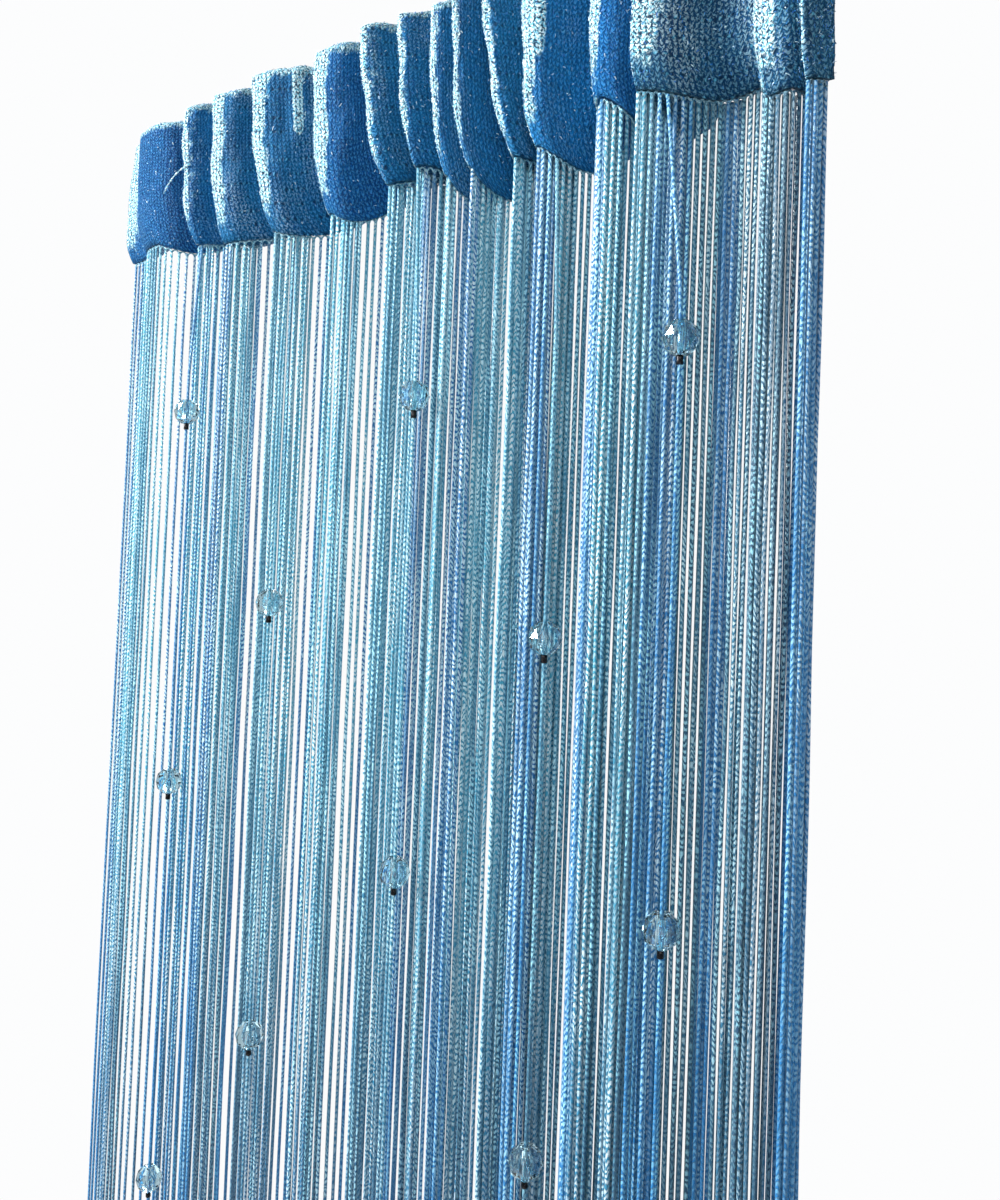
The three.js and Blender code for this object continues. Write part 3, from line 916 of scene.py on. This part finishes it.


# Deep blue folds painted brighter or darker fold by fold as painted shade and light, nearly white speckled
# painted highlights on the ridges where the cloth turns to the left, and a greyer open lace on the last
# folds at the right.
def knitMaterial():
    material, tree, shader = newMaterial("knittedBand")
    look, vector = knitLook, uvVector(tree)
    knit = groupOutputs(tree, knitRelief, vector)
    lace, gaps = attributeOf(tree, "lace"), attributeOf(tree, "gaps")
    # Painted highlight: the ridges turned to the left are painted nearly white, with a ragged edge
    ragged = centred(tree, noise(tree, vector, 210), look["ragged"])
    ridgeHighlight = ramp(tree, plus(tree, attributeOf(tree, "lit"), ragged), 0.42, 0.72)
    patch = ramp(tree, noise(tree, vector, 48), 0.3, 0.72)
    # depth is the painted shade and light of each fold, made uneven by random patches
    depth = plus(tree, attributeOf(tree, "foldShade"), centred(tree, patch, look["uneven"]), clamp=True)
    blue = mixed(tree, gaps, mixed(tree, depth, *look["plain"]), mixed(tree, depth, *look["open"]))
    colour = mixed(tree, lace, blue, mixed(tree, patch, *look["grey"]))
    # Painted highlight: where the yarn glints, the blue is painted paler
    glintBlue = mixed(tree, lace, *look["glintBlue"])
    colour = mixed(tree, times(tree, knit["Glint"], look["glintBlueShare"]), colour, glintBlue)
    # Painted shade between the stitches
    colour = mixed(tree, between(tree, knit["Stitch"], look["stitchShadeShare"], 0.0), colour, look["stitchShade"])
    colour = mixed(tree, times(tree, ridgeHighlight, look["ridgeHighlightShare"]), colour, look["ridgeHighlight"])
    loops = times(tree, knit["Dot"], times(tree, gaps, look["loopShare"]))
    colour = mixed(tree, loops, colour, look["loop"])
    # Painted highlight: nearly white glints, most on the ridges, a few on the lace and more in random
    # patches on the open folds
    wearAndGlintPatches = ramp(tree, stretchedNoise(tree, vector, (34, 17, 1), 3.0), 0.5, 0.68)
    glintShares = between(tree, ridgeHighlight, *look["glintShares"])
    glintShares = plus(tree, glintShares, times(tree, lace, look["laceGlints"]), clamp=True)
    glintShares = plus(tree, glintShares, times(tree, gaps, times(tree, wearAndGlintPatches, look["patchGlints"])), clamp=True)
    colour = mixed(tree, times(tree, knit["Glint"], glintShares), colour, look["glintWhite"])
    # Painted shade: the open gaps and the pits between the stitches are painted nearly black
    opened = times(tree, knit["Hole"], between(tree, gaps, *look["gapDepth"]))
    pitted = times(tree, knit["Pit"], between(tree, ridgeHighlight, *look["pitDepth"]))
    colour = mixed(tree, maths(tree, "MAXIMUM", opened, pitted), colour, look["gap"])
    feedAll(tree, shader, {
        "Base Color": colour, "Roughness": between(tree, knit["Glint"], *look["roughness"]),
        "Specular IOR Level": 0.15, "Sheen Weight": 0.12, "Sheen Roughness": 0.35,
        "Sheen Tint": (0.1, 0.8, 1.0, 1), "Normal": bumpFrom(tree, knit["Height"], *look["relief"]),
    })
    return material


# Colours of the strings in the same way. The lower part is painted darker as painted shade, starting at
# these heights in metres.
stringLook = {
    "upper": ((0.020, 0.17, 0.31, 1), (0.055, 0.42, 0.58, 1)),
    "lower": ((0.006, 0.06, 0.14, 1), (0.014, 0.17, 0.36, 1)), "lowerFrom": (-0.60, -0.22),
    "grey": ((0.004, 0.05, 0.11, 1), (0.016, 0.13, 0.24, 1)), "blue": (0.004, 0.16, 0.41, 1),
    # The stitch colours are painted highlights on the chain stitches
    "stitch": ((0.38, 0.80, 0.92, 1), (0.92, 1.0, 1.0, 1)),
    "blueStitchHighlight": (0.16, 0.60, 0.86, 1), "blueStitches": (0.15, 0.75),
    "lowerDims": 0.5, "greyDims": 0.42, "runScales": (57.0, 16.0), "dimSpark": 0.4, "brightSpark": 1.25,
    "roughness": (0.5, 0.25), "relief": (0.8, 0.0007),
}


def stringMaterial():
    material, tree, shader = newMaterial("chainCord")
    look, vector = stringLook, uvVector(tree)
    stitch = groupOutputs(tree, chainStitch, vector)
    own, grey, full = (attributeOf(tree, name) for name in ("tint", "grey", "blue"))
    height = splitVector(tree, vector)["Y"]
    # Painted shade: the strings are painted darker towards the bottom
    low = ramp(tree, height, *look["lowerFrom"], 1.0, 0.0)
    base = mixed(tree, low, mixed(tree, own, *look["upper"]), mixed(tree, own, *look["lower"]))
    base = mixed(tree, grey, base, mixed(tree, own, *look["grey"]))
    base = mixed(tree, full, base, look["blue"])
    # Painted highlight: the chain stitches are painted pale as the yarn's glints, dimmed lower down and to
    # the right
    fuller = times(tree, full, between(tree, low, *look["blueStitches"]))
    light = mixed(tree, fuller, mixed(tree, own, *look["stitch"]), look["blueStitchHighlight"])
    spark = times(tree, stitch["Dash"], ramp(tree, stitch["Fibre"], 0.3, 0.55, 0.65, 1.0))
    dimmed = plus(tree, times(tree, low, look["lowerDims"]), times(tree, grey, look["greyDims"]))
    spark = times(tree, spark, maths(tree, "SUBTRACT", 1.0, dimmed), clamp=True)
    # Runs of stronger and weaker painted highlight on the stitches, different on each string
    runs = tree.nodes.new("ShaderNodeCombineXYZ")
    scaleX, scaleY = look["runScales"]
    feedAll(tree, runs, {"X": times(tree, own, scaleX), "Y": times(tree, height, scaleY)})
    dimSpark = ramp(tree, noise(tree, runs.outputs["Vector"], 1.0), 0.38, 0.62, look["dimSpark"], look["brightSpark"])
    colour = mixed(tree, times(tree, spark, dimSpark, clamp=True), base, light)
    feedAll(tree, shader, {
        "Base Color": colour, "Roughness": between(tree, stitch["Dash"], *look["roughness"]),
        "Specular IOR Level": 0.6, "Sheen Weight": 0.2, "Sheen Roughness": 0.4,
        "Sheen Tint": (0.6, 0.92, 1.0, 1), "Normal": bumpFrom(tree, stitch["Height"], *look["relief"]),
    })
    return material


def glassMaterial():
    material, tree, shader = newMaterial("paleGlass")
    cloud = ramp(tree, objectNoise(tree, 180), 0.3, 0.75)
    feedAll(tree, shader, {
        "Base Color": mixed(tree, cloud, (0.55, 0.86, 0.95, 1), (0.80, 0.96, 0.99, 1)),
        "Roughness": ramp(tree, objectNoise(tree, 900, 3.0), 0.4, 0.8, 0.01, 0.06),
        "Transmission Weight": 1.0, "IOR": 1.54,
    })
    return material


def metalMaterial():
    material, tree, shader = newMaterial("darkCrimpMetal")
    wearAndGlintPatches = ramp(tree, objectNoise(tree, 1400, 3.0), 0.45, 0.75)
    feedAll(tree, shader, {
        "Base Color": mixed(tree, wearAndGlintPatches, (0.012, 0.012, 0.014, 1), (0.10, 0.09, 0.085, 1)),
        "Roughness": ramp(tree, objectNoise(tree, 2200), 0.3, 0.8, 0.22, 0.5),
        "Metallic": 1.0,
    })
    return material


def yarnMaterial():
    material, tree, shader = newMaterial("shinyYarn")
    tint = attributeOf(tree, "tint")
    wearAndGlintPatches = ramp(tree, objectNoise(tree, 900, 1.0), 0.3, 0.7)
    blue = mixed(tree, wearAndGlintPatches, (0.004, 0.11, 0.44, 1), (0.03, 0.27, 0.62, 1))
    # A high tint is painted pale: partly random pale loops, partly painted highlight on the lit ridges and
    # top
    feedAll(tree, shader, {
        "Base Color": mixed(tree, ramp(tree, tint, 0.45, 0.8), blue, (0.80, 0.99, 1.0, 1)),
        "Roughness": ramp(tree, tint, 0.0, 1.0, 0.5, 0.25),
        "Specular IOR Level": 0.6,
    })
    return material


cordMaterial = stringMaterial()
headingCloth.data.materials.append(knitMaterial())
yarnLoops.data.materials.append(yarnMaterial())
for piece in stringPieces + [hemEdge, looseEnd]:
    piece.data.materials.append(cordMaterial)
print("cloth painted")


def beadPlaces():
    places = []
    for row in range(beads["rows"]):
        for column in columns:
            if column["first"] != row % 2:
                continue
            number, listed = len(places), beads["unevenness"]
            slip = listed[number] if number < len(listed) else beads["slip"] * math.sin(number * 2.3)
            top = beads["first"] - row * beads["rowPitch"] + slip
            places.append((column["x"], column["y"], top - beads["high"] / 2))
    return np.array(places, float)


places = beadPlaces()
# The cut is listed as shares of the bead's half width and half height
radius, half, hole = beads["across"] / 2, beads["high"] / 2, beads["hole"]
beadRings = [(hole, -beads["holeEdge"] * half)] + [(a * radius, b * half) for a, b in beads["cut"]]
beadRings += [(hole, beads["holeEdge"] * half), (hole, 0.0)]
beadPart = ringsObject("beadPart", beadRings, beads["sides"], stagger=True)
glassBeads = scatter("glassBeads", places, beadPart, glassMaterial(), turn=0.6, seed=5)

# A metal crimp hangs under each bead, its middle "below" millimetres under the bead
crimp = {
    "rings": ((0.9, -1.8), (1.2, -1.8), (1.42, -1.3), (1.3, 0.0), (1.42, 1.3), (1.2, 1.8), (0.9, 1.8)),
    "sides": 12, "below": 1.7,
}
crimpPart = ringsObject("crimpPart", crimp["rings"], crimp["sides"], smooth=True)
crimpPlaces = places - np.array([0, 0, half + crimp["below"]])
crimps = scatter("crimps", crimpPlaces, crimpPart, metalMaterial(), turn=1.0, seed=9)
print("beads made", len(places))

# Plain pale studio
studio = {
    "floor": ((0.80, 0.80, 0.80, 1), (0.84, 0.84, 0.84, 1)), "floorRoughness": 0.8,
    "corners": ((-1.5, -1.5), (1.5, -1.5), (1.5, 1.5), (-1.5, 1.5)), "level": -2.03,
    "backdrop": (0.975, 0.98, 0.985, 1), "glow": (0.86, 0.93, 1.0, 1), "glowStrength": 0.55,
}
floorMesh = bpy.data.meshes.new("floor")
floorMesh.from_pydata([(x, y, studio["level"]) for x, y in studio["corners"]], [], [(0, 1, 2, 3)])
floor = addObject("floor", floorMesh)
floorMaterial, floorTree, floorShader = newMaterial("paleFloor")
floorTone = ramp(floorTree, objectNoise(floorTree, 3.0), 0.2, 0.8)
floorColour = mixed(floorTree, floorTone, *studio["floor"])
feedAll(floorTree, floorShader, {"Base Color": floorColour, "Roughness": studio["floorRoughness"]})
floorMesh.materials.append(floorMaterial)

world = bpy.data.worlds.new("studio")
world.use_nodes = True
sky = world.node_tree
backdrop = sky.nodes["Background"]
feedAll(sky, backdrop, {"Color": studio["backdrop"], "Strength": 1.0})
glow = sky.nodes.new("ShaderNodeBackground")
feedAll(sky, glow, {"Color": studio["glow"], "Strength": studio["glowStrength"]})
cameraRay = sky.nodes.new("ShaderNodeLightPath").outputs["Is Camera Ray"]
chooser = sky.nodes.new("ShaderNodeMixShader")
feedAll(sky, chooser, {"Fac": cameraRay, 1: glow.outputs[0], 2: backdrop.outputs[0]})
feedAll(sky, sky.nodes["World Output"], {"Surface": chooser.outputs[0]})
scene.world = world


def softLight(name, place, target, size, power, colour):
    data = bpy.data.lights.new(name, "AREA")
    data.shape = "RECTANGLE"
    data.size, data.size_y = size
    data.energy = power
    data.color = colour
    light = addObject(name, data)
    light.location = place
    light.rotation_euler = (Vector(target) - Vector(place)).to_track_quat("-Z", "Y").to_euler()


softLight("keyLeft", (-1.3, -2.05, 0.95), (0, 0, -0.15), (0.7, 1.5), 165, (0.93, 0.98, 1.0))
softLight("backRim", (-1.5, 1.1, 0.5), (0, 0, -0.3), (0.6, 1.4), 30, (0.95, 0.98, 1.0))
softLight("frontFill", (1.3, -1.7, 0.1), (0, 0, -0.5), (1.2, 1.4), 9, (0.93, 0.97, 1.0))
scene.view_settings.view_transform = "Standard"
scene.view_settings.look = "None"
print("studio lit")

beadNodes = [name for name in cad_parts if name.startswith("bead_")]
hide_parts("heading")
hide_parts("strings")
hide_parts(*beadNodes)
cords = stringPieces + [hemEdge, looseEnd]
for piece in [headingCloth, yarnLoops, glassBeads, crimps] + cords:
    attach(piece, "root")
